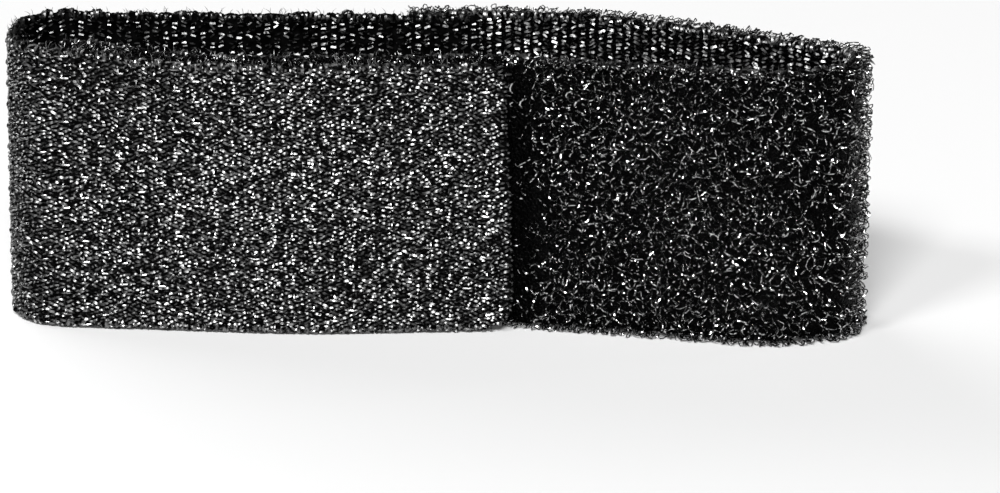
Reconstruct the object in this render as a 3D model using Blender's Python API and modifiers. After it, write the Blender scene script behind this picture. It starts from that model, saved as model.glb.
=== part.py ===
"""A hook and loop cable tie, closed into a ring that stands on the edge of its tape.

Two woven tapes make the strap. They lie against each other in a short lap at the ring's back,
where they are fused. From there the hook tape turns round the left end with its hooks inwards,
and its free end is the flap, which is pressed on the loop tape at the front. The loop tape turns
round the right end with its pile outwards and runs on under the flap.

Each tape is modelled flat, as it comes off the loom, and is then wrapped round the ring. In a
flat tape x runs along it, y through it, with plus towards the ring's outside, and z across it.
"""

import math

import bmesh
import bpy
import numpy as np

# The two tapes, with their lengths measured along the ring from the flap's end
TAPE_WIDTH = 0.0200
HOOK_TAPE_LENGTH = 0.0780
LAP_LENGTH = 0.0051
FLAP_OVERLAP = 0.0330

# Thicknesses. Two tapes that touch are kept apart by the clearance
HOOK_TAPE_THICKNESS = 0.0010
LOOP_BASE_THICKNESS = 0.0008
PILE_HEIGHT = 0.0013
PRESSED_PILE_HEIGHT = 0.0006
CLEARANCE = 0.0003

# The weave, with a rib for each weft thread, and the flat woven edges
RIB_PITCH = 0.0007
RIB_HEIGHT = 0.00009
EDGE_WIDTH = 0.0010
EDGE_THINNING = 0.0002

# The pile stands in tufts, in rows along the tape that are half a tuft out of step
TUFT_ROWS = 6
TUFT_LENGTH = 0.0014
TUFT_HEIGHT = 0.00026
PILE_RISE = 0.0020
PILE_INSET = 0.0004

# The flap's end, cut out of square by its slant
FLAP_TOP_RADIUS = 0.0019
FLAP_BOTTOM_RADIUS = 0.0029
FLAP_END_SLANT = 0.0007
# The corner arcs run on past the tape's edges, so that they cross them at an angle
CORNER_OVERRUN = 0.00005

# The ring from above. x is along it from its middle, y is back from the bend under the flap
RING_LENGTH = 0.0605
RING_DEPTH = 0.0128
FLAP_BEND_X = 0.0039
FRONT_DIP_X = -0.0098
FRONT_DIP = 0.0007
LEFT_END_Y = 0.0013
CREST_X = 0.0111
NOSE_Y = 0.0026
CHIN_Y = -0.0023
CHIN_INSET = 0.0010
BULGE_X = 0.0239
BULGE = 0.0044

# Bend radii of the ring's middle line
FLAP_BEND = 0.0120
FRONT_DIP_BEND = 0.0350
LEFT_FRONT_BEND = 0.0038
LEFT_BACK_BEND = 0.0026
CREST_BEND = 0.0300
NOSE_BEND = 0.0024
CHIN_BEND = 0.0025
BULGE_BEND = 0.0085

BEND_STEPS = 24
CORNER_STEPS = 7


class Ring:
    """The closed line between the two tapes, as straight runs and arcs. It is measured clockwise
    as seen from above, from where the front wall bends at the flap's end."""

    def __init__(self):
        left, right = -RING_LENGTH / 2, RING_LENGTH / 2
        bends = [
            (FLAP_BEND_X, 0.0, FLAP_BEND),
            (FRONT_DIP_X, -FRONT_DIP, FRONT_DIP_BEND),
            (left, LEFT_END_Y, LEFT_FRONT_BEND),
            (left, RING_DEPTH, LEFT_BACK_BEND),
            (CREST_X, RING_DEPTH, CREST_BEND),
            (right, NOSE_Y, NOSE_BEND),
            (right - CHIN_INSET, CHIN_Y, CHIN_BEND),
            (BULGE_X, -BULGE, BULGE_BEND),
        ]
        self.points = []
        self.outward = []
        for before, bend, after in zip(bends[-1:] + bends, bends, bends[1:] + bends[:1]):
            self.add_bend(np.array(before[:2]), np.array(bend[:2]), np.array(after[:2]), bend[2])
        self.points = np.array(self.points)
        self.outward = np.array(self.outward)
        steps = np.linalg.norm(np.roll(self.points, -1, axis=0) - self.points, axis=1)
        self.lengths = np.concatenate([[0.0], np.cumsum(steps)[:-1]])
        self.perimeter = steps.sum()

    def add_bend(self, before, corner, after, radius):
        """Rounds a corner of the ring with an arc, no larger than the runs beside it have room for."""
        arriving = math.atan2(*(corner - before)[::-1])
        leaving = math.atan2(*(after - corner)[::-1])
        turn = (leaving - arriving + math.pi) % (2 * math.pi) - math.pi
        room = min(np.linalg.norm(corner - before), np.linalg.norm(after - corner)) / 2
        trim = min(radius * math.tan(abs(turn) / 2), room)
        radius = trim / math.tan(abs(turn) / 2)
        # A left-hand turn bows the ring inwards
        side = math.copysign(1.0, turn)
        run = np.array([math.cos(arriving), math.sin(arriving)])
        across = np.array([-run[1], run[0]])
        centre = corner - run * trim + across * radius * side
        for step in range(BEND_STEPS + 1):
            heading = arriving + turn * step / BEND_STEPS
            out = np.array([-math.sin(heading), math.cos(heading)])
            self.points.append(centre - out * radius * side)
            self.outward.append(out)

    def at(self, s, out):
        """The point at length s along the ring, and out beyond it."""
        x, y, out_x, out_y = (
            np.interp(s, self.lengths, values, period=self.perimeter)
            for values in (*self.points.T, *self.outward.T)
        )
        size = math.hypot(out_x, out_y)
        return x + out * out_x / size, y + out * out_y / size


def ramp(value, start, end):
    """A smooth rise from 0 at start to 1 at end."""
    t = min(max((value - start) / (end - start), 0.0), 1.0)
    return t * t * (3 - 2 * t)


def hook_centre(ring, s):
    """How far outside the ring line the hook tape lies: outside at the flap, and inside at the lap."""
    seat = (CLEARANCE + HOOK_TAPE_THICKNESS) / 2
    return seat * (1 - 2 * ramp(s, FLAP_OVERLAP, HOOK_TAPE_LENGTH - LAP_LENGTH))


def loop_centre(ring, s):
    """The same for the loop tape's base: outside at the lap, and inside, under its pile, at the flap."""
    lap_seat = (CLEARANCE + LOOP_BASE_THICKNESS) / 2
    flap_seat = -lap_seat - PRESSED_PILE_HEIGHT
    moved = ramp(s, HOOK_TAPE_LENGTH, ring.perimeter - PILE_RISE)
    return lap_seat + (flap_seat - lap_seat) * moved


def pile_height(ring, s, z):
    """The pile is pressed down under the flap, and stops just short of the tape's edges."""
    if min(z, TAPE_WIDTH - z) < PILE_INSET / 2:
        return 0.0
    pressed = ramp(s, ring.perimeter - PILE_RISE, ring.perimeter)
    row = round((z - PILE_INSET) / (TAPE_WIDTH - 2 * PILE_INSET) * TUFT_ROWS)
    crest = 0.5 + 0.5 * math.cos(2 * math.pi * (s / TUFT_LENGTH + row / 2))
    standing = PILE_HEIGHT - TUFT_HEIGHT * (1 - crest)
    return standing + (PRESSED_PILE_HEIGHT - standing) * pressed


def hook_place(ring, s, y, z):
    return hook_centre(ring, s) + y


def loop_place(ring, s, y, z):
    pile = pile_height(ring, s, z) if y > 0 else 0.0
    return loop_centre(ring, s) + y + pile


def flat_tape(name, length, thickness, lanes):
    """A closed flat tape with ribs across it. The lanes are the places across it that have points."""
    ribs = round(length / RIB_PITCH)
    last_lane = len(lanes) - 1
    bm = bmesh.new()
    bmesh.ops.create_grid(bm, x_segments=2 * ribs, y_segments=last_lane, size=0.5)
    shares = []
    for vertex in bm.verts:
        station = round((vertex.co.x + 0.5) * 2 * ribs)
        lane = round((vertex.co.y + 0.5) * last_lane)
        vertex.co = (length * station / (2 * ribs), 0.0, lanes[lane])
        thinning = 0.0 if station % 2 else 2 * RIB_HEIGHT
        if lane in (0, last_lane):
            thinning += EDGE_THINNING
        shares.append(1 - thinning / thickness)
    mesh = bpy.data.meshes.new(name)
    bm.to_mesh(mesh)
    bm.free()
    tape = bpy.data.objects.new(name, mesh)
    bpy.context.scene.collection.objects.link(tape)
    group = tape.vertex_groups.new(name="share of thickness")
    for index, share in enumerate(shares):
        group.add([index], share, "REPLACE")
    cloth = tape.modifiers.new("Cloth", "SOLIDIFY")
    cloth.thickness = thickness
    cloth.offset = 0.0
    cloth.vertex_group = group.name
    return tape


def flap_end_outline():
    """What is cut off the hook tape's end: all before a slanted line with rounded corners."""
    over = 2 * max(FLAP_BOTTOM_RADIUS, FLAP_TOP_RADIUS)
    outline = [(-over, -over)]
    for radius, end_x, edge_z, up in (
        (FLAP_BOTTOM_RADIUS, 0.0, -CORNER_OVERRUN, 1),
        (FLAP_TOP_RADIUS, FLAP_END_SLANT, TAPE_WIDTH + CORNER_OVERRUN, -1),
    ):
        corner = [(end_x + radius, edge_z - up * over)]
        for step in range(CORNER_STEPS + 1):
            turn = math.pi / 2 * step / CORNER_STEPS
            x = end_x + radius * (1 - math.sin(turn))
            z = edge_z + up * radius * (1 - math.cos(turn))
            corner.append((x, z))
        outline += corner if up > 0 else corner[::-1]
    outline.append((-over, TAPE_WIDTH + over))
    return outline


def flap_end_cutter():
    """The outline made solid, and stood up so that it cuts through the tape."""
    outline = flap_end_outline()
    curve = bpy.data.curves.new("flap_end_outline", "CURVE")
    curve.dimensions = "2D"
    curve.fill_mode = "BOTH"
    curve.extrude = HOOK_TAPE_THICKNESS
    spline = curve.splines.new("POLY")
    spline.points.add(len(outline) - 1)
    for point, (x, z) in zip(spline.points, outline):
        point.co = (x, z, 0.0, 1.0)
    spline.use_cyclic_u = True
    drawn = bpy.data.objects.new("flap_end_outline", curve)
    bpy.context.scene.collection.objects.link(drawn)
    drawn.rotation_euler.x = math.pi / 2
    bpy.context.view_layer.update()
    graph = bpy.context.evaluated_depsgraph_get()
    mesh = bpy.data.meshes.new_from_object(drawn.evaluated_get(graph))
    bm = bmesh.new()
    bm.from_mesh(mesh)
    bmesh.ops.remove_doubles(bm, verts=bm.verts, dist=1e-6)
    bmesh.ops.recalc_face_normals(bm, faces=bm.faces)
    bm.to_mesh(mesh)
    bm.free()
    cutter = bpy.data.objects.new("flap_end_cutter", mesh)
    cutter.matrix_world = drawn.matrix_world
    cutter.hide_render = True
    cutter.display_type = "WIRE"
    bpy.context.scene.collection.objects.link(cutter)
    bpy.data.objects.remove(drawn)
    return cutter


def wrap(tape, start, ring, place):
    """Bends a flat tape round the ring. place says how far out each of its points lies."""
    bpy.context.view_layer.update()
    graph = bpy.context.evaluated_depsgraph_get()
    mesh = bpy.data.meshes.new_from_object(tape.evaluated_get(graph))
    bm = bmesh.new()
    bm.from_mesh(mesh)
    bmesh.ops.triangulate(bm, faces=bm.faces)
    for vertex in bm.verts:
        s = start + vertex.co.x
        z = vertex.co.z
        vertex.co = (*ring.at(s, place(ring, s, vertex.co.y, z)), z)
    bm.to_mesh(mesh)
    bm.free()
    tape.modifiers.clear()
    tape.data = mesh
    mesh.shade_smooth()
    mesh.set_sharp_from_angle(angle=math.radians(40))


def make_hook_tape(ring):
    lanes = [0.0, EDGE_WIDTH, TAPE_WIDTH - EDGE_WIDTH, TAPE_WIDTH]
    tape = flat_tape("hook_tape", HOOK_TAPE_LENGTH, HOOK_TAPE_THICKNESS, lanes)
    cutter = flap_end_cutter()
    cut = tape.modifiers.new("Flap end", "BOOLEAN")
    cut.operation = "DIFFERENCE"
    cut.object = cutter
    wrap(tape, 0.0, ring, hook_place)
    bpy.data.objects.remove(cutter)
    return tape


def make_loop_tape(ring):
    pile_width = TAPE_WIDTH - 2 * PILE_INSET
    rows = [PILE_INSET + pile_width * row / TUFT_ROWS for row in range(TUFT_ROWS + 1)]
    start = HOOK_TAPE_LENGTH - LAP_LENGTH
    length = ring.perimeter + FLAP_OVERLAP - start
    tape = flat_tape("loop_tape", length, LOOP_BASE_THICKNESS, [0.0, *rows, TAPE_WIDTH])
    wrap(tape, start, ring, loop_place)
    return tape


def stand_on_origin(tapes):
    """Moves the tapes so that the middle of the ring's underside is the origin."""
    points = np.array([vertex.co for tape in tapes for vertex in tape.data.vertices])
    middle = (points.min(axis=0) + points.max(axis=0)) / 2
    for tape in tapes:
        for vertex in tape.data.vertices:
            vertex.co.x -= middle[0]
            vertex.co.y -= middle[1]


def dye(tape, colour, roughness):
    """Black nylon cloth."""
    material = bpy.data.materials.new(tape.name + "_nylon")
    material.use_nodes = True
    shader = material.node_tree.nodes["Principled BSDF"]
    shader.inputs["Base Color"].default_value = (*colour, 1.0)
    shader.inputs["Roughness"].default_value = roughness
    shader.inputs["Metallic"].default_value = 0.0
    tape.data.materials.append(material)


def collect(name, objects):
    group = bpy.data.collections.new(name)
    bpy.context.scene.collection.children.link(group)
    for obj in objects:
        bpy.context.scene.collection.objects.unlink(obj)
        group.objects.link(obj)


def build():
    for old in list(bpy.data.objects):
        bpy.data.objects.remove(old)
    ring = Ring()
    hook_tape = make_hook_tape(ring)
    loop_tape = make_loop_tape(ring)
    stand_on_origin([hook_tape, loop_tape])
    dye(hook_tape, (0.020, 0.020, 0.022), 0.50)
    dye(loop_tape, (0.014, 0.014, 0.016), 0.70)
    collect("hook_and_loop_cable_tie", [hook_tape, loop_tape])


build()
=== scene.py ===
"""The looks of the cable tie: the woven grounds of its two tapes, thread by thread, the hooks of
one and the curled pile of the other.

Everything is laid out flat first. In a flat tape s runs along the ring from the flap's end, out is
the distance outside the line between the two tapes, and z is across the tape.
"""

import math

import bpy
import numpy as np
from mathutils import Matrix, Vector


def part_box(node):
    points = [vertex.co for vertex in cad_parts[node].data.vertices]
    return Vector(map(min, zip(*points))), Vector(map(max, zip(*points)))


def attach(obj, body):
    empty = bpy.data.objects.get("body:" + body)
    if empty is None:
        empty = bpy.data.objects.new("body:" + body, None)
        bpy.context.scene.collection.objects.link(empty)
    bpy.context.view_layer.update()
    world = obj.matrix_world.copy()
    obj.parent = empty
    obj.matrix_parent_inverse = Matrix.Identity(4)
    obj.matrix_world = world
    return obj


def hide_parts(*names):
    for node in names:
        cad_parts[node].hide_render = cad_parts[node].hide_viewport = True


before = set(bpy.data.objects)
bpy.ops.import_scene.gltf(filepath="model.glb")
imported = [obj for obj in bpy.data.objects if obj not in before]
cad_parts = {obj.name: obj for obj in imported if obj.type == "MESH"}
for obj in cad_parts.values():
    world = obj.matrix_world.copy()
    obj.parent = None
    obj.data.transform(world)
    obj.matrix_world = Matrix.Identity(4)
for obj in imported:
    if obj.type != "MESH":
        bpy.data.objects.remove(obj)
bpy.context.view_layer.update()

DRAWS = np.random.default_rng(7)

# The tapes, as the solids have them
TAPE_WIDTH = 0.0200
HOOK_TAPE_LENGTH = 0.0780
LAP_LENGTH = 0.0051
FLAP_OVERLAP = 0.0330
HOOK_TAPE_THICKNESS = 0.0010
LOOP_BASE_THICKNESS = 0.0008
PILE_HEIGHT = 0.0013
PRESSED_PILE_HEIGHT = 0.0006
CLEARANCE = 0.0003
PILE_RISE = 0.0020
FLAP_TOP_RADIUS = 0.0019
FLAP_BOTTOM_RADIUS = 0.0029
FLAP_END_SLANT = 0.0007

# The ring's bends as seen from above: x, y and radius
RING_LENGTH = 0.0605
RING_DEPTH = 0.0128
BENDS = [
    (0.0039, 0.0, 0.0120),
    (-0.0098, -0.0007, 0.0350),
    (-RING_LENGTH / 2, 0.0013, 0.0038),
    (-RING_LENGTH / 2, RING_DEPTH, 0.0026),
    (0.0111, RING_DEPTH, 0.0300),
    (RING_LENGTH / 2, 0.0026, 0.0024),
    (RING_LENGTH / 2 - 0.0010, -0.0023, 0.0025),
    (0.0239, -0.0044, 0.0085),
]
BEND_STEPS = 48

# Where the hook tape turns round the left end, the ring's upper edge leans back by this much
LEAN = 0.0032
LEAN_START = 0.0220
LEAN_PEAK = 0.0335
LEAN_PEAK_LENGTH = 0.0010
LEAN_END = 0.0440
LEAN_CURVE = 1.3

# The weave. A pick is one weft thread of two strands. The warps pass over the strands, as floats
PICK = 0.00069
WARP_SPACING = 0.000307
FLOAT_LENGTH = 0.00050
FLOAT_WIDTH = 0.00017
FLOAT_LEAN = 0.38
FLOAT_PITCH = 0.00003
FLOAT_SINK = 0.00003
FLOAT_DIVE = 0.00016
FLOAT_UNEVENNESS = 0.000025
FLOAT_SHIFT_ALONG = 0.00004
FLOAT_SHIFT_ACROSS = 0.00003
FLOAT_TILT = math.radians(31)
FLOAT_TILT_SPREAD = math.radians(11)
FRONT_WEAVE_LENGTH = 0.0370

# The grounds under the floats, with a low rib at each pick. Their lanes are in selvages from an edge
GROUND_THICKNESS = 0.00040
LOOP_GROUND_EXTRA = 0.0001
CORE_INSET = 0.00012
RIB_DEPTH = 0.00004
LANES = (0.4, 0.7, 1.2, 2.4, 6.0, 14.0, 28.0)

# The edges and the cuts of the tapes
SELVAGE = 0.00025
SELVAGE_STRANDS = 3
SCALLOP = 0.00020
SCALLOP_PERIOD = 0.0019
SCALLOP_DRIFT = 0.0067
SCALLOP_DEPTH = 0.0012
HAIRS_PER_MM = 3.0
HAIR = 0.000022
CUT_WARP = 0.00010
CUT_WARP_ROOT = 0.0004

# The hook tape's monofilaments: they show on its back as bars with a stem, and on its face as hooks
HOOK_ROW_SPACING = 2.5 * WARP_SPACING
HOOK_REPEAT = 4 * PICK
MONOFILAMENT = 0.00009
BAR_LENGTH = 0.00105
BAR_PROUDNESS = 0.00004
BAR_DIVE = 0.00022
STEM_LENGTH = 0.00056
STEM_PROUDNESS = 0.00012
STEM_SHIFT = 0.00008
HOOK_RISE = 0.00052
HOOK_REACH = 0.00020
HOOK_SHIFT = 0.00010
HOOK_CREST = 0.55
HOOK_ROOT_DEPTH = 0.0001
FIRST_HOOK = 0.0040
LAST_HOOK = HOOK_TAPE_LENGTH - 0.0006

# Under the flap the hook tape's face can't be seen, and only its edges have their threads
FLOATS_IN_VIEW = FLAP_OVERLAP - 0.0015
HOOKS_IN_VIEW = FLAP_OVERLAP - 0.0010

# The pile: curled filaments over a dark sheet with a share of the pile's height. The sheet is
# partly the pile's dense lower fibres and partly painted shade for the shaded depth among them
PILE_PER_MM2 = 7.2
EDGE_CURLS_PER_MM = 8.0
SQUEEZED_PER_MM = 14.0
SQUEEZED_BAND = 0.0008
SQUEEZED_AT_TOP = 0.7
NAP_AND_SHADE_SHARE = 0.58
NAP_RELIEF = 0.00025
FILAMENT = 0.000051
TWIST = 3.5
PILE_STEPS = 8
PILE_ROOT_DEPTH = 0.0001
PRESSED_RISE = 0.0005
PILE_UNDER_FLAP = 0.0012
EDGE_BAND = 0.0006
CURL_SHAPE = 0.6
STRAY_SHARE = 0.04

# The pile thins towards the flap's end, as painted shadow of the flap: fewer bright curls let the
# dark layer show there. It is also thinner round the right end's first bend. The pairs are
# distances from the flap's end
FLAP_END_DENSITY = 0.30
FLAP_END_FILLS = (0.0008, 0.0034)
BEND_LOSS = 0.40
BEND_THINS = (0.0170, 0.0240)
BEND_FILLS = (0.0262, 0.0290)

# A mesh's sides meet in a sharp edge where they turn by more than this
CREASE = math.radians(50)

# The camera, from the photo: its horizon is level, and it looks 18 degrees down on a view that is
# 0.0715 m wide at the tie
PITCH = math.radians(18)
DISTANCE = 0.300
VIEW_WIDTH = 0.0715
AIM = (-0.0003, 0.0, 0.0100)
AIM_PIXEL = (435, 195)
FRAME_SIZE = (1000, 493)
SENSOR = 36.0

# The paper floor, the lamps and the light of the room
FLOOR_SIZE = 6.0
FLOOR_GAP = 0.00002
PAPER = 0.89
PAPER_GLOW = 0.05
LAMP_DISTANCE = 2.0
ROOM_LIGHT = 0.05

UP = np.array([0.0, 0.0, 1.0])


class Ring:
    """The closed line between the two tapes, as straight runs and arcs."""

    def __init__(self, bends):
        points, outward = [], []
        for before, bend, after in zip(bends[-1:] + bends, bends, bends[1:] + bends[:1]):
            arc = self.arc(np.array(before[:2]), np.array(bend[:2]), np.array(after[:2]), bend[2])
            points.append(arc[0])
            outward.append(arc[1])
        self.points = np.concatenate(points)
        self.outward = np.concatenate(outward)
        steps = np.linalg.norm(np.roll(self.points, -1, axis=0) - self.points, axis=1)
        self.lengths = np.concatenate([[0.0], np.cumsum(steps)[:-1]])
        self.perimeter = steps.sum()

    @staticmethod
    def arc(before, corner, after, radius):
        arriving = math.atan2(*(corner - before)[::-1])
        leaving = math.atan2(*(after - corner)[::-1])
        turn = (leaving - arriving + math.pi) % (2 * math.pi) - math.pi
        room = min(np.linalg.norm(corner - before), np.linalg.norm(after - corner)) / 2
        trim = min(radius * math.tan(abs(turn) / 2), room)
        radius = trim / math.tan(abs(turn) / 2)
        side = math.copysign(1.0, turn)
        run = np.array([math.cos(arriving), math.sin(arriving)])
        centre = corner - run * trim + np.array([-run[1], run[0]]) * radius * side
        heading = arriving + turn * np.linspace(0, 1, BEND_STEPS + 1)
        out = np.stack([-np.sin(heading), np.cos(heading)], axis=1)
        return centre - out * radius * side, out

    def outward_at(self, s):
        out = np.stack(
            [np.interp(s, self.lengths, v, period=self.perimeter) for v in self.outward.T]
            + [np.zeros_like(s)],
            axis=-1,
        )
        return out / np.linalg.norm(out, axis=-1, keepdims=True)

    def place(self, flat):
        """Points in the row frame, from an array whose last axis is s, out and z."""
        s, out, z = np.moveaxis(flat, -1, 0)
        line = np.stack(
            [np.interp(s, self.lengths, v, period=self.perimeter) for v in self.points.T] + [z],
            axis=-1,
        )
        placed = line + out[..., None] * self.outward_at(s) + self.shift
        placed[..., 1] += LEAN * self.leaning_share(s) * (z / TAPE_WIDTH) ** LEAN_CURVE
        return placed

    def leaning_share(self, s):
        """The ring's upper edge leans back where the hook tape turns round the left end."""
        s = s % self.perimeter
        past_peak = ramp(s, LEAN_PEAK + LEAN_PEAK_LENGTH, LEAN_END)
        return ramp(s, LEAN_START, LEAN_PEAK) * (1 - past_peak)


def ramp(value, start, end):
    t = np.clip((value - start) / (end - start), 0.0, 1.0)
    return t * t * (3 - 2 * t)


def hook_centre(s):
    seat = (CLEARANCE + HOOK_TAPE_THICKNESS) / 2
    return seat * (1 - 2 * ramp(s, FLAP_OVERLAP, HOOK_TAPE_LENGTH - LAP_LENGTH))


def loop_centre(s):
    lap_seat = (CLEARANCE + LOOP_BASE_THICKNESS) / 2
    flap_seat = -lap_seat - PRESSED_PILE_HEIGHT
    return lap_seat + (flap_seat - lap_seat) * ramp(s, HOOK_TAPE_LENGTH, RING.perimeter - PILE_RISE)


def flap_end(z):
    """How far along the tape its end lies at z, with the slant and the two rounded corners."""
    low = np.clip(1 - z / FLAP_BOTTOM_RADIUS, 0, 1)
    high = np.clip(1 - (TAPE_WIDTH - z) / FLAP_TOP_RADIUS, 0, 1)
    return (
        FLAP_END_SLANT * z / TAPE_WIDTH
        + FLAP_BOTTOM_RADIUS * (1 - np.sqrt(1 - low**2))
        + FLAP_TOP_RADIUS * (1 - np.sqrt(1 - high**2))
    )


def on_tape(tape, s, height, z):
    """Points in the row frame, from places along a tape, heights over its middle, and z."""
    flat = np.broadcast_arrays(s, CENTRES[tape](s) + height, z)
    return RING.place(np.stack(flat, axis=-1))


def length_in_picks(length):
    return round(length / PICK)


def every_warp():
    return np.arange(SELVAGE, TAPE_WIDTH - SELVAGE, WARP_SPACING)


def unit(vectors):
    return vectors / np.maximum(np.linalg.norm(vectors, axis=-1, keepdims=True), 1e-12)


def leaning(s, facing, tilt):
    """The direction out of a tape's face at s, tilted upwards. facing is -1 on the inner face."""
    return facing * RING.outward_at(s) * np.cos(tilt)[..., None] + UP * np.sin(tilt)[..., None]


def mesh_object(name, points, faces, material):
    """A mesh from points and a list of face arrays, each with faces of one size. It is smooth but
    for its creases."""
    corners = np.concatenate([f.ravel() for f in faces]).astype(np.int32)
    sizes = np.concatenate([np.full(len(f), f.shape[1]) for f in faces])
    mesh = bpy.data.meshes.new(name)
    mesh.vertices.add(len(points))
    mesh.vertices.foreach_set("co", np.asarray(points, np.float32).ravel())
    mesh.loops.add(len(corners))
    mesh.loops.foreach_set("vertex_index", corners)
    mesh.polygons.add(len(sizes))
    starts = np.concatenate([[0], np.cumsum(sizes)[:-1]])
    mesh.polygons.foreach_set("loop_start", starts.astype(np.int32))
    mesh.update(calc_edges=True)
    mesh.shade_smooth()
    mesh.set_sharp_from_angle(angle=CREASE)
    mesh.materials.append(material)
    obj = bpy.data.objects.new(name, mesh)
    bpy.context.scene.collection.objects.link(obj)
    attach(obj, "root")
    return obj


def threads(name, paths, half_width, half_height, face, sides, material, twist=None):
    """One mesh of many threads. paths is (threads, points, 3) in the row frame, and the first and
    last points are the thread's tips. face is the way that a thread's broad side faces, unless it
    is twisted."""
    count, steps = paths.shape[:2]
    rings = steps - 2
    along = unit(paths[:, 2:] - paths[:, :-2])
    up = unit(face - (face * along).sum(-1, keepdims=True) * along)
    across = np.cross(along, up)
    # One flat of the section faces the way that the broad side does
    turn = math.pi / 2 + 2 * math.pi * (np.arange(sides) + 0.5) / sides
    if twist is not None:
        turn = turn + twist[..., None]
    around = (
        np.cos(turn)[..., None] * (across * half_width[..., None])[:, :, None]
        + np.sin(turn)[..., None] * (up * half_height[..., None])[:, :, None]
    )
    tube = (paths[:, 1:-1, None] + around).reshape(count, rings * sides, 3)
    points = np.concatenate([paths[:, :1], tube, paths[:, -1:]], axis=1)
    side = np.arange(sides)
    after = (side + 1) % sides
    last = rings * sides + 1
    tips = np.concatenate(
        [
            np.stack([np.zeros_like(side), 1 + after, 1 + side], axis=1),
            np.stack([np.full_like(side, last), last - sides + side, last - sides + after], axis=1),
        ]
    )
    ring = 1 + sides * np.arange(rings - 1)[:, None]
    walls = np.stack(
        [ring + side, ring + after, ring + sides + after, ring + sides + side], axis=-1
    ).reshape(-1, 4)
    first = (np.arange(count) * (last + 1))[:, None, None]
    faces = [(tips + first).reshape(-1, 3), (walls + first).reshape(-1, 4)]
    return mesh_object(name, points.reshape(-1, 3), faces, material)


def scallops(s, z):
    """How far a tape's edges swell upwards at each place, where the wefts turn back."""
    drift = 2.1 * np.sin(2 * math.pi * s / SCALLOP_DRIFT)
    swell = 0.5 + 0.5 * np.sin(2 * math.pi * s / SCALLOP_PERIOD + drift)
    return SCALLOP * swell * np.clip(1 - np.minimum(z, TAPE_WIDTH - z) / SCALLOP_DEPTH, 0, 1)


def ground(tape, start, length, outer, inner, end, nap_and_shade, material):
    """A tape's woven ground as a closed sheet, with a low rib at each pick on both faces.
    Its outer face is raised by a dark layer, as high as the given function says, too dense to see
    through: partly short fibres, partly painted shade for the pile's shaded depth."""
    centre = CENTRES[tape]
    picks = length_in_picks(length)
    stations = start + length * np.linspace(0, 1, 4 * picks + 1)
    inset = SELVAGE * np.array(LANES)
    lanes = np.concatenate([inset, TAPE_WIDTH - inset[::-1]])
    s, z = np.meshgrid(stations, lanes, indexing="ij")
    s = s + end(z) * np.clip(1 - (s - start) / 0.004, 0, 1)
    rib = 0.5 - 0.5 * np.cos(2 * math.pi * (stations - start) / length * picks)
    rounding = np.clip(1 - np.minimum(lanes, TAPE_WIDTH - lanes) / (2 * SELVAGE), 0, 1) ** 2
    half_thickness = (outer - inner) / 2 - CORE_INSET - RIB_DEPTH * (1 - rib[:, None])
    half_thickness = half_thickness * (1 - 0.7 * rounding[None])
    middle = centre(s) + (outer + inner) / 2
    z = z + scallops(s, z)
    top = np.stack([s, middle + half_thickness + nap_and_shade(s, z) * (1 - rounding[None]), z], axis=-1)
    bottom = np.stack([s, middle - half_thickness, z], axis=-1)[:, ::-1]
    sheet = RING.place(np.concatenate([top, bottom], axis=1))
    rows, columns = sheet.shape[:2]
    row = np.arange(rows - 1)[:, None] * columns
    column = np.arange(columns)[None]
    following = (column + 1) % columns
    walls = np.stack(
        [row + column, row + columns + column, row + columns + following, row + following], axis=-1
    ).reshape(-1, 4)
    strip = np.arange(len(lanes) - 1)
    first_cap = np.stack([strip, strip + 1, columns - 2 - strip, columns - 1 - strip], axis=-1)
    last_cap = (first_cap + (rows - 1) * columns)[:, ::-1]
    return mesh_object(tape + "_ground", sheet.reshape(-1, 3), [walls, first_cap, last_cap], material)


def weave(name, tape, start, picks, strands, face, facing, keep, rings, sides, material):
    """The warp floats on one face of a ground: one over each second warp at every strand."""
    rows = int(TAPE_WIDTH / WARP_SPACING) - 1
    columns = np.arange(picks[0] * strands, (picks[-1] + 1) * strands)
    column, row = (grid.ravel() for grid in np.meshgrid(columns, np.arange(rows), indexing="ij"))
    s = start + (column + 0.5) * PICK / strands + DRAWS.normal(0, FLOAT_SHIFT_ALONG, len(row))
    z = (row + 0.75 + 0.5 * (column % 2)) * WARP_SPACING
    kept = keep(s, z)
    s, z = s[kept, None], z[kept, None]
    count = len(s)
    spread = np.concatenate([[-1], np.linspace(-0.66, 0.66, rings), [1]])[None]
    size = DRAWS.normal(1.0, 0.16, (count, 1))
    lean = DRAWS.normal(0.0, FLOAT_LEAN, (count, 1))
    proud = DRAWS.normal(0.0, FLOAT_UNEVENNESS, (count, 1))
    proud = proud + DRAWS.normal(0.0, FLOAT_PITCH, (count, 1)) * spread
    dive = FLOAT_DIVE * np.abs(spread) ** 4
    path_s = s + spread * size * FLOAT_LENGTH / 2
    path_z = z + spread * lean * FLOAT_LENGTH / 2
    path_z = path_z + DRAWS.normal(0, FLOAT_SHIFT_ACROSS, (count, 1))
    path_z = np.clip(path_z, FLOAT_WIDTH / 2, TAPE_WIDTH - FLOAT_WIDTH / 2)
    height = face + facing * (proud - FLOAT_SINK - dive)
    paths = on_tape(tape, path_s, height, path_z)
    tilt = DRAWS.normal(FLOAT_TILT, FLOAT_TILT_SPREAD, (count, 1)) * np.ones((1, rings))
    width = FLOAT_WIDTH / 2 * size * (1 - 0.30 * np.abs(spread[:, 1:-1]) ** 3)
    face_way = leaning(path_s[:, 1:-1], facing, tilt)
    return threads(name, paths, 1.2 * width, 0.5 * width, face_way, sides, material)


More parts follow.
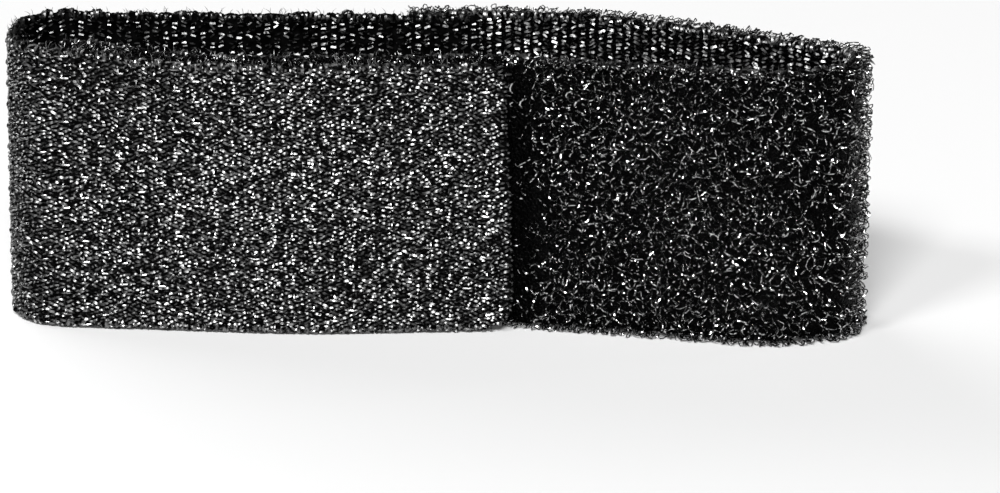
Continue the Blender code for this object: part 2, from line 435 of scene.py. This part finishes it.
def bar_places():
    """Where the monofilaments cross the back of the hook tape: the middles of their bars."""
    rows = int(TAPE_WIDTH / HOOK_ROW_SPACING)
    repeats = int(HOOK_TAPE_LENGTH / HOOK_REPEAT) + 1
    repeat, row = np.meshgrid(np.arange(repeats), np.arange(rows), indexing="ij")
    s = (repeat + 0.5 * (row % 2) + 0.25).ravel() * HOOK_REPEAT
    z = ((row + 0.4) * HOOK_ROW_SPACING).ravel()
    kept = (s - BAR_LENGTH / 2 > flap_end(z)) & (s + BAR_LENGTH / 2 < HOOK_TAPE_LENGTH)
    return s[kept], z[kept]


def on_back_of_hook_tape(s, z):
    """Keeps the floats that end before the flap does and that no bar lies over."""
    kept = s - 0.25 * FLOAT_LENGTH > flap_end(z)
    for bar_s, bar_z in zip(*bar_places()):
        kept &= (np.abs(s - bar_s) > 0.40 * BAR_LENGTH) | (np.abs(z - bar_z) > 0.35 * WARP_SPACING)
    return kept


def between_hooks(s, z):
    """Keeps the floats of the hook tape's face that aren't where a hook comes out."""
    row = z / HOOK_ROW_SPACING
    in_view = (s > FLOATS_IN_VIEW) | (TAPE_WIDTH - z < 0.001)
    return in_view & (np.abs(row - np.floor(row) - 0.5) > 0.12)


def bars_and_stems(material):
    s, z = (values[:, None] for values in bar_places())
    count = len(s)
    outer = HOOK_TAPE_THICKNESS / 2
    spread = np.array([[-1, -0.8, 0, 0.8, 1]])
    lean = DRAWS.normal(0, 0.05, (count, 1))
    path_s = s + spread * BAR_LENGTH / 2
    path_z = z + spread * lean * BAR_LENGTH / 2
    height = outer + BAR_PROUDNESS - BAR_DIVE * np.abs(spread) ** 3
    bars = on_tape("hook_tape", path_s, height, path_z)
    width = np.full((count, 3), MONOFILAMENT)
    tilt = DRAWS.normal(FLOAT_TILT, 0.08, (count, 1)) * np.ones((1, 3))
    face_way = leaning(path_s[:, 1:-1], 1, tilt)
    bar_piece = threads("hook_tape_bars", bars, width, width, face_way, 6, material)
    rise = np.array([[0.0, 0.2, 0.6, 1.0]])
    stem_s = s + DRAWS.normal(0, STEM_SHIFT, (count, 1)) * (1 - rise)
    stem_z = np.minimum(z + rise * STEM_LENGTH, TAPE_WIDTH)
    height = outer + STEM_PROUDNESS - math.tan(FLOAT_TILT) * STEM_LENGTH * rise
    stems = on_tape("hook_tape", stem_s, height, stem_z)
    width = np.full((count, 2), 0.9 * MONOFILAMENT)
    outward = RING.outward_at(stem_s[:, 1:-1])
    stem_piece = threads("hook_tape_stems", stems, width, width, outward, 5, material)
    return [bar_piece, stem_piece]


def hooks(material):
    """The hooks on the hook tape's face. Row by row they lean one way and then the other."""
    rows = int(TAPE_WIDTH / HOOK_ROW_SPACING)
    columns = np.arange(int(HOOK_TAPE_LENGTH / (2 * PICK)))
    column, row = (grid.ravel() for grid in np.meshgrid(columns, np.arange(rows), indexing="ij"))
    s = (column + 0.5 * (row % 2) + 0.25) * 2 * PICK
    z = (row + 0.5) * HOOK_ROW_SPACING
    at_edge = (row == 0) | (row == rows - 1)
    in_view = (s > HOOKS_IN_VIEW) | at_edge
    kept = in_view & (s < LAST_HOOK) & (s > FIRST_HOOK)
    s, z, row = s[kept, None], z[kept, None], row[kept, None]
    count = len(s)
    lean = np.where(row % 4 < 2, 1, -1) * DRAWS.normal(1.0, 0.15, (count, 1))
    turn = np.linspace(-0.1, 1.0, 8)[None]
    path_s = s + HOOK_REACH * (1 - np.cos(math.pi * 1.25 * turn)) * lean
    path_z = z + DRAWS.normal(0, HOOK_SHIFT, (count, 1)) * turn
    fall = 0.9 * (turn - HOOK_CREST) ** 2 / 0.2
    rise = HOOK_RISE * np.where(turn < HOOK_CREST, turn / HOOK_CREST, 1 - fall)
    height = HOOK_TAPE_THICKNESS / 2 - GROUND_THICKNESS + HOOK_ROOT_DEPTH - rise
    paths = on_tape("hook_tape", path_s, height, path_z)
    width = np.full((count, 6), 0.8 * MONOFILAMENT)
    return threads("hook_tape_hooks", paths, width, width, UP, 4, material)


def selvages(tape, start, length, outer, inner, material):
    """The wefts turning back at both edges of a tape, in a few strands at each pick."""
    picks = length_in_picks(length)
    grids = np.meshgrid(np.arange(SELVAGE_STRANDS), [False, True], np.arange(picks), indexing="ij")
    strand, at_top, pick = (grid.ravel()[:, None] for grid in grids)
    count = len(pick)
    aside = (strand + 0.5) / SELVAGE_STRANDS - 0.5 + DRAWS.normal(0, 0.12, (count, 1))
    turn = np.linspace(-0.1, 1.1, 7)[None] * math.pi
    swell = DRAWS.normal(1.0, 0.35, picks)[pick]
    size = swell + DRAWS.normal(0.0, 0.12, (count, 1))
    depth = SELVAGE * (1.6 - (0.7 + size) * np.sin(turn))
    path_z = np.where(at_top, TAPE_WIDTH - depth, np.maximum(depth, 0) + 0.5 * SELVAGE)
    height = (outer + inner) / 2 + (outer - inner) / 2 * np.cos(turn) * 0.9
    slant = DRAWS.normal(0, 0.40, (count, 1)) * np.cos(turn)
    path_s = start + (pick + 0.5 + aside * (0.5 + 0.5 * np.sin(turn)) + slant) * PICK
    paths = on_tape(tape, path_s, height, path_z)
    core_z = np.where(at_top, TAPE_WIDTH - 2 * SELVAGE, 2 * SELVAGE)
    outwards = unit(paths - on_tape(tape, path_s, (outer + inner) / 2, core_z))[:, 1:-1]
    width = 0.17 * PICK * (0.7 + 0.3 * size) * np.ones((1, 5))
    return threads(tape + "_selvages", paths, width, 0.7 * width, outwards, 4, material)


def hairs(tape, start, length, outer, inner, material):
    """A few fine fibres that have come loose along a tape's upper edge."""
    count = int(HAIRS_PER_MM * length * 1000)
    rise = np.array([[-0.2, 0.2, 0.6, 1.0]])
    reach = DRAWS.uniform(0.00020, 0.00060, (count, 1))
    path_s = start + length * DRAWS.random((count, 1))
    path_s = path_s + DRAWS.normal(0, 0.00022, (count, 1)) * rise**2
    path_z = TAPE_WIDTH + reach * rise
    level = DRAWS.uniform(-0.5, 0.5, (count, 1)) + DRAWS.normal(0, 0.4, (count, 1)) * rise**2
    height = (outer + inner) / 2 + (outer - inner) * level
    paths = on_tape(tape, path_s, height, path_z)
    width = np.full((count, 2), HAIR)
    outward = RING.outward_at(path_s[:, 1:-1])
    return threads(tape + "_hairs", paths, width, width, outward, 3, material)


def curls(count, s, z, span, bend, rise, base):
    """Paths of curled filaments over a tape. Each one's heading turns along it, so that it is a C
    or an S as seen from the front, and it stands up by rise in its middle."""
    t = np.linspace(0, 1, PILE_STEPS)[None]
    heading = 2 * math.pi * DRAWS.random((count, 1)) + bend * (t - 0.5)
    heading = heading + DRAWS.normal(0, 0.5, (count, 1)) * np.sin(2 * math.pi * t)
    step = span / (PILE_STEPS - 1)
    along = np.cumsum(np.cos(heading), axis=1) * step
    across = np.cumsum(np.sin(heading), axis=1) * step
    path_s = s + along - along.mean(axis=1, keepdims=True)
    path_z = z + across - across.mean(axis=1, keepdims=True)
    return path_s, path_z, base + rise * np.sin(math.pi * (0.04 + 0.92 * t)) ** CURL_SHAPE


def pile_threads(name, path_s, path_z, height, radius, material):
    """Filaments with a section of three flats that twists along them, so that they glint in spots."""
    path_z = np.clip(path_z, radius, None)
    paths = on_tape("loop_tape", path_s, height, path_z)
    count = len(paths)
    width = radius * np.ones((1, PILE_STEPS - 2))
    outward = RING.outward_at(path_s[:, 1:-1])
    along = np.linspace(0, 1, PILE_STEPS - 2)[None]
    twist = 2 * math.pi * DRAWS.random((count, 1)) + DRAWS.normal(0, TWIST, (count, 1)) * along
    return threads(name, paths, width, width, outward, 3, material, twist)


def pressed_by_flap(s, z):
    """0 where the pile stands free, 1 where the flap lies on it."""
    return ramp(s - flap_end(z), RING.perimeter - PILE_RISE, RING.perimeter)


def nap_and_shade_under_pile(s, z):
    # The height of the pile's dark layer: partly dense short fibres, partly painted shade for its
    # depth
    pressed = pressed_by_flap(s, z)
    return NAP_AND_SHADE_SHARE * (PILE_HEIGHT * (1 - pressed) + PRESSED_PILE_HEIGHT * pressed)


def pile_places():
    """Where the curls of the pile stand: all over the tape, and once more along both edges. They
    are sparse beside the flap's end, as painted shadow of the flap, and round the right end's first
    bend."""
    start = HOOK_TAPE_LENGTH - LAP_LENGTH
    length = RING.perimeter + PILE_UNDER_FLAP - start
    pitch = 0.001 / math.sqrt(PILE_PER_MM2)
    column, row = np.meshgrid(np.arange(int(length / pitch)), np.arange(int(TAPE_WIDTH / pitch)))
    s = start + (column.ravel() + DRAWS.random(column.size)) * pitch
    z = (row.ravel() + DRAWS.random(row.size)) * pitch
    edge_count = int(2 * EDGE_CURLS_PER_MM * length * 1000)
    edge_s = start + length * DRAWS.random(edge_count)
    edge = np.where(np.arange(edge_count) % 3 == 0, 0.0, TAPE_WIDTH)
    edge_z = np.clip(edge + DRAWS.normal(0, 0.00025, edge_count), 0.0002, None)
    s, z = np.concatenate([s, edge_s]), np.concatenate([z, edge_z])
    ahead = RING.perimeter + flap_end(z) - s
    # Fewer curls beside the flap's end: painted shadow of the flap
    density = FLAP_END_DENSITY + (1 - FLAP_END_DENSITY) * ramp(ahead, *FLAP_END_FILLS)
    density *= 1 - BEND_LOSS * ramp(ahead, *BEND_THINS) * (1 - ramp(ahead, *BEND_FILLS))
    kept = DRAWS.random(len(s)) < density
    return s[kept, None], z[kept, None]


def pile(material):
    """The curled filaments of the pile, and those squeezed out at the edges under the flap."""
    s, z = pile_places()
    count = len(s)
    stray = DRAWS.random((count, 1)) < STRAY_SHARE
    at_edge = np.abs(z - TAPE_WIDTH / 2) > TAPE_WIDTH / 2 - EDGE_BAND
    span = DRAWS.uniform(0.0007, 0.0018, (count, 1))
    span = span * np.where(stray, 2.0, 1.0) * np.where(at_edge, 0.6, 1.0)
    bend = DRAWS.normal(3.4, 1.4, (count, 1)) * DRAWS.choice([-1, 1], (count, 1))
    pressed = pressed_by_flap(s, z)
    room = (PILE_HEIGHT + PILE_ROOT_DEPTH) * (1 - pressed) + PRESSED_RISE * pressed
    stray_share = DRAWS.uniform(0.9, 1.15, (count, 1))
    usual_share = DRAWS.uniform(0.6, 1.12, (count, 1))
    rise = room * np.where(stray, stray_share, usual_share)
    base = GROUND_THICKNESS - LOOP_BASE_THICKNESS / 2 - PILE_ROOT_DEPTH
    path_s, path_z, height = curls(count, s, z, span, bend, rise, base)
    # The curls near an edge turn back a little way out
    top = TAPE_WIDTH + 0.0003 * DRAWS.random((count, 1))
    over = np.maximum(path_z - top, 0) + np.maximum(-path_z, 0)
    path_z = np.where(path_z > TAPE_WIDTH / 2, path_z - 1.4 * over, path_z + 1.8 * over)
    path_s = np.minimum(path_s, RING.perimeter + 0.0030)
    radius = FILAMENT * DRAWS.normal(1.0, 0.12, (count, 1)) * np.where(stray, 0.8, 1.0)
    order = np.argsort(s[:, 0])
    made = []
    for index, part in enumerate(np.array_split(order, 3)):
        values = [v[part] for v in (path_s, path_z, height, radius)]
        made.append(pile_threads(f"loop_tape_pile_{index + 1}", *values, material))
    return [*made, squeezed_pile(base, material)]


def squeezed_pile(base, material):
    """The curls that stick out along the edges under the flap, most of them at the upper one."""
    count = int(SQUEEZED_PER_MM * FLAP_OVERLAP * 1000)
    s = RING.perimeter + (FLAP_OVERLAP - 0.001) * DRAWS.random((count, 1))
    at_top = DRAWS.random((count, 1)) < SQUEEZED_AT_TOP
    below_top = TAPE_WIDTH - SQUEEZED_BAND * DRAWS.random((count, 1))
    over_bottom = SQUEEZED_BAND * DRAWS.random((count, 1))
    z = np.where(at_top, below_top, over_bottom)
    span = DRAWS.uniform(0.0007, 0.0014, (count, 1))
    bend = DRAWS.normal(3.0, 1.2, (count, 1)) * DRAWS.choice([-1, 1], (count, 1))
    rise = DRAWS.uniform(0.0003, 0.0010, (count, 1))
    path_s, path_z, height = curls(count, s, z, span, bend, rise, base)
    path_z = np.minimum(path_z, TAPE_WIDTH + 0.0002)
    radius = 0.9 * FILAMENT * np.ones((count, 1))
    return pile_threads("loop_tape_squeezed_pile", path_s, path_z, height, radius, material)


def cut_ends(name, tape, s, z, facing, outer, inner, material):
    """The short ends of the warps that stand out of a cut across a tape."""
    count = len(s)
    s, z = s[:, None], z[:, None]
    t = np.array([[-0.4, 0.0, 0.5, 1.0]])
    reach = DRAWS.uniform(0.00008, 0.00030, (count, 1))
    path_s = s + facing * reach * t * np.where(t < 0, CUT_WARP_ROOT / reach, 1)
    path_z = z + DRAWS.normal(0, 0.00010, (count, 1)) * np.maximum(t, 0)
    path_z = np.clip(path_z, 0.0001, None)
    level = np.where(np.arange(count)[:, None] % 2 == 0, 0.30, -0.30)
    height = (outer + inner) / 2 + (outer - inner) * (level + DRAWS.normal(0, 0.25, (count, 1)) * t)
    paths = on_tape(tape, path_s, height, path_z)
    width = np.full((count, 2), CUT_WARP)
    outward = RING.outward_at(path_s[:, 1:-1])
    return threads(name, paths, width, width, outward, 5, material)


def nylon(name, shade, roughness, ior, shine, grain, relief=0.0):
    """Black nylon. It shines in spots, where the flats of its filaments lie right, and is dull
    elsewhere. grain is the number of spots along a metre, and relief is how far they stand up."""
    material = bpy.data.materials.new(name)
    material.use_nodes = True
    nodes, links = material.node_tree.nodes, material.node_tree.links
    shader = nodes["Principled BSDF"]
    shader.inputs["IOR"].default_value = ior
    place = nodes.new("ShaderNodeTexCoord")
    spots = nodes.new("ShaderNodeTexNoise")
    spots.inputs["Scale"].default_value = grain
    spots.inputs["Detail"].default_value = 1.0
    links.new(place.outputs["Object"], spots.inputs["Vector"])
    tint = nodes.new("ShaderNodeValToRGB")
    for element, position, share in zip(tint.color_ramp.elements, (0.35, 0.70), (0.6, 1.8)):
        element.position = position
        element.color = (shade * share, shade * share, shade * share * 1.04, 1)
    links.new(spots.outputs["Fac"], tint.inputs["Fac"])
    links.new(tint.outputs["Color"], shader.inputs["Base Color"])
    gloss = nodes.new("ShaderNodeMapRange")
    gloss.inputs["To Min"].default_value = roughness * 0.75
    gloss.inputs["To Max"].default_value = roughness * 1.30
    links.new(spots.outputs["Fac"], gloss.inputs["Value"])
    links.new(gloss.outputs["Result"], shader.inputs["Roughness"])
    flash = nodes.new("ShaderNodeMapRange")
    flash.inputs["From Min"].default_value = 0.38
    flash.inputs["From Max"].default_value = 0.62
    flash.inputs["To Min"].default_value = 0.02
    flash.inputs["To Max"].default_value = shine
    links.new(spots.outputs["Fac"], flash.inputs["Value"])
    links.new(flash.outputs["Result"], shader.inputs["Specular IOR Level"])
    if relief > 0:
        bump = nodes.new("ShaderNodeBump")
        bump.inputs["Distance"].default_value = relief
        links.new(spots.outputs["Fac"], bump.inputs["Height"])
        links.new(bump.outputs["Normal"], shader.inputs["Normal"])
    return material


def floor():
    half = FLOOR_SIZE / 2
    mesh = bpy.data.meshes.new("floor")
    corners = [(-half, -half, 0), (half, -half, 0), (half, half, 0), (-half, half, 0)]
    mesh.from_pydata(corners, [], [(0, 1, 2, 3)])
    obj = bpy.data.objects.new("floor", mesh)
    obj.location.z = -FLOOR_GAP
    bpy.context.scene.collection.objects.link(obj)
    material = bpy.data.materials.new("paper")
    material.use_nodes = True
    nodes, links = material.node_tree.nodes, material.node_tree.links
    nodes.clear()
    paper = nodes.new("ShaderNodeBsdfDiffuse")
    paper.inputs["Color"].default_value = (PAPER, PAPER, PAPER, 1)
    white = nodes.new("ShaderNodeEmission")
    seen = nodes.new("ShaderNodeLightPath")
    share = nodes.new("ShaderNodeMath")
    share.operation = "MULTIPLY"
    share.inputs[1].default_value = PAPER_GLOW
    links.new(seen.outputs["Is Camera Ray"], share.inputs[0])
    mix = nodes.new("ShaderNodeMixShader")
    links.new(share.outputs[0], mix.inputs[0])
    links.new(paper.outputs[0], mix.inputs[1])
    links.new(white.outputs[0], mix.inputs[2])
    out = nodes.new("ShaderNodeOutputMaterial")
    links.new(mix.outputs[0], out.inputs["Surface"])
    mesh.materials.append(material)


def lamp(name, azimuth, elevation, width, height, radiance):
    """A soft box aimed at the tie. Azimuth 0 is in front of it, and 90 is on its right."""
    turn, tilt = math.radians(azimuth), math.radians(elevation)
    data = bpy.data.lights.new(name, "AREA")
    data.shape = "RECTANGLE"
    data.size = width
    data.size_y = height
    data.energy = radiance * math.pi * width * height
    obj = bpy.data.objects.new(name, data)
    bpy.context.scene.collection.objects.link(obj)
    aside = np.array([math.sin(turn), -math.cos(turn)]) * math.cos(tilt)
    away = np.array([*aside, math.sin(tilt)])
    obj.location = np.array([0, 0, TAPE_WIDTH / 2]) + LAMP_DISTANCE * away
    obj.rotation_euler = (math.pi / 2 - tilt, 0, turn)


def lights():
    # Azimuth, elevation, width, height and radiance
    lamp("front", -6, 41, 0.78, 0.44, 38.0)
    lamp("left", -42, 46, 0.40, 0.34, 29.0)
    lamp("back", -138, 24, 1.70, 0.80, 5.2)
    lamp("right", 108, 25, 0.20, 0.40, 4.0)
    world = bpy.data.worlds.new("studio")
    bpy.context.scene.world = world
    world.use_nodes = True
    background = world.node_tree.nodes["Background"]
    background.inputs["Color"].default_value = (1, 1, 1, 1)
    background.inputs["Strength"].default_value = ROOM_LIGHT


def camera():
    data = bpy.data.cameras.new("camera")
    data.sensor_width = SENSOR
    data.lens = SENSOR * DISTANCE / VIEW_WIDTH
    obj = bpy.data.objects.new("camera", data)
    bpy.context.scene.collection.objects.link(obj)
    pixel = VIEW_WIDTH / FRAME_SIZE[0]
    right = (AIM_PIXEL[0] - FRAME_SIZE[0] / 2) * pixel
    down = (AIM_PIXEL[1] - FRAME_SIZE[1] / 2) * pixel
    ahead = np.array([0, math.cos(PITCH), -math.sin(PITCH)])
    up = np.array([0, math.sin(PITCH), math.cos(PITCH)])
    aim = np.array(AIM) + RING.shift
    obj.location = aim - ahead * DISTANCE - np.array([right, 0, 0]) + up * down
    obj.rotation_euler = (math.pi / 2 - PITCH, 0, 0)
    data.clip_start = 0.01
    data.clip_end = 20
    bpy.context.scene.camera = obj


RING = Ring(BENDS)
CENTRES = {"hook_tape": hook_centre, "loop_tape": loop_centre}


def align_ring():
    """Puts the ring line where the hook tape's solid is."""
    RING.shift = np.zeros(3)
    s = np.linspace(0, HOOK_TAPE_LENGTH, 4000)
    low = on_tape("hook_tape", s, HOOK_TAPE_THICKNESS / 2, 0.0).min(axis=0)
    box_low = np.array(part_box("hook_tape")[0])
    RING.shift = np.array([box_low[0] - low[0], box_low[1] - low[1], 0.0])


def everywhere(s, z):
    return np.ones(len(s), bool)


def dress(node):
    """Hides a tape's solid."""
    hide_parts(node)


def hook_tape():
    yarn = nylon("hook_tape_yarn", shade=0.0012, roughness=0.32, ior=2.0, shine=1.0, grain=3200)
    # The ground is darker and duller than the warps: painted shade for the gaps between the floats
    weft = nylon("hook_tape_weft", shade=0.0008, roughness=0.50, ior=1.5, shine=0.06, grain=1800)
    clear = nylon("hook_monofilament", shade=0.002, roughness=0.22, ior=2.2, shine=1.0, grain=2400)
    outer = HOOK_TAPE_THICKNESS / 2
    inner = outer - GROUND_THICKNESS
    length = HOOK_TAPE_LENGTH
    base = ground("hook_tape", 0.0, length, outer, inner, flap_end, lambda s, z: 0 * z, weft)
    picks = np.arange(length_in_picks(length))
    in_front = picks * PICK < FRONT_WEAVE_LENGTH
    warps = every_warp()
    # The selvages and the hairs start beyond the flap's rounded corners
    corners = 0.0026
    pieces = [
        weave(
            "hook_tape_front_weave", "hook_tape", 0.0, picks[in_front], 2, outer, 1,
            on_back_of_hook_tape, rings=3, sides=4, material=yarn,
        ),
        weave(
            "hook_tape_back_weave", "hook_tape", 0.0, picks[~in_front], 2, outer, 1,
            on_back_of_hook_tape, rings=2, sides=3, material=yarn,
        ),
        weave(
            "hook_tape_inner_weave", "hook_tape", 0.0, picks, 1, inner, -1,
            between_hooks, rings=2, sides=4, material=yarn,
        ),
        selvages("hook_tape", corners, length - corners, outer, inner, yarn),
        cut_ends("hook_tape_flap_cut", "hook_tape", flap_end(warps), warps, -1, outer, inner, yarn),
        cut_ends("hook_tape_lap_cut", "hook_tape", length + 0 * warps, warps, 1, outer, inner, yarn),
        hairs("hook_tape", corners, length - corners, outer, inner, yarn),
        hooks(clear),
        *bars_and_stems(clear),
    ]
    dress("hook_tape")


def loop_tape():
    yarn = nylon("loop_tape_yarn", shade=0.0015, roughness=0.36, ior=2.4, shine=1.0, grain=3200)
    # The loop tape's ground and the dark layer in its pile, darker and duller than the curls: painted
    # shade for the pile's shaded depth
    weft = nylon(
        "loop_tape_weft", shade=0.0006, roughness=0.26, ior=1.6, shine=0.025, grain=5500,
        relief=NAP_RELIEF,
    )
    curl = nylon("pile_filament", shade=0.0008, roughness=0.18, ior=3.6, shine=1.0, grain=4500)
    start = HOOK_TAPE_LENGTH - LAP_LENGTH
    length = RING.perimeter + FLAP_OVERLAP - start
    inner = -LOOP_BASE_THICKNESS / 2
    outer = inner + GROUND_THICKNESS + LOOP_GROUND_EXTRA
    base = ground("loop_tape", start, length, outer, inner, lambda z: 0 * z, nap_and_shade_under_pile, weft)
    picks = np.arange(length_in_picks(length))
    warps = every_warp()
    pieces = [
        weave(
            "loop_tape_inner_weave", "loop_tape", start, picks, 1, inner, -1,
            everywhere, rings=2, sides=3, material=yarn,
        ),
        selvages("loop_tape", start, length, outer, inner, yarn),
        cut_ends("loop_tape_lap_cut", "loop_tape", start + 0 * warps, warps, -1, outer, inner, yarn),
        hairs("loop_tape", start, length, outer, inner, yarn),
        *pile(curl),
    ]
    dress("loop_tape")


align_ring()
hook_tape()
loop_tape()
floor()
lights()
camera()

bpy.context.scene.view_settings.view_transform = "Standard"
